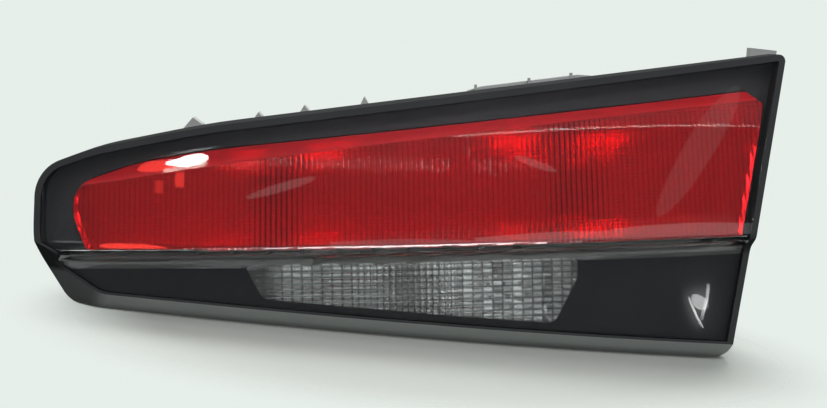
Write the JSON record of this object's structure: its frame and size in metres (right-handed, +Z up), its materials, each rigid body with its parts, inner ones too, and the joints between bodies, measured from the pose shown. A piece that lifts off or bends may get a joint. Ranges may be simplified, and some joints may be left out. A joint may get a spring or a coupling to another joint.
{
  "type": "tail light cluster",
  "caption": "Right-hand tailgate lamp: clear creased cover lens, black bezel, fluted red lens, pillow-optic reversing lens, chrome reflector and grey housing with studs and bulb carrier.",
  "frame": {"origin": "seat of the centre mounting stud on the back of the housing, on the stud's axis", "axes": "+Z up on the car, the lens faces -Y, +X points outboard to the lamp's wide end"},
  "size_m": [0.352, 0.1204, 0.1475],
  "materials": {
    "clear_cover": "clear polished acrylic",
    "rim_black": "satin black, moulded onto the clear face",
    "bezel_black": "gloss black",
    "red_lens": "red transparent acrylic",
    "clear_optic": "clear moulded acrylic",
    "reflector_chrome": "vacuum metallised",
    "housing_grey": "moulded satin grey",
    "stud_steel": "zinc plated",
    "vent_rubber": "matt black",
    "carrier_plastic": "moulded natural nylon",
    "gasket_foam": "closed-cell foam",
    "contact_brass": "stamped",
    "cap_metal": "drawn, plated",
    "bulb_glass": "clear blown glass",
    "filament_steel": "drawn wire"
  },
  "bodies": {
    "root": {"outer_lens": "clear_cover", "lens_rim": "rim_black", "inner_bezel": "bezel_black", "red_inner_lens": "red_lens", "reverse_inner_lens": "clear_optic", "reflector": "reflector_chrome", "housing": "housing_grey", "mounting_studs": "stud_steel", "vent_cap": "vent_rubber", "bulb_carrier": "carrier_plastic", "carrier_gasket": "gasket_foam", "contact_tracks": "contact_brass", "connector_pins": "contact_brass", "tail_bulb_cap": "cap_metal", "tail_bulb_glass": "bulb_glass", "tail_bulb_filament": "filament_steel", "stop_bulb_cap": "cap_metal", "stop_bulb_glass": "bulb_glass", "stop_bulb_filament": "filament_steel", "reverse_bulb_cap": "cap_metal", "reverse_bulb_glass": "bulb_glass", "reverse_bulb_filament": "filament_steel"}
  },
  "joints": []
}
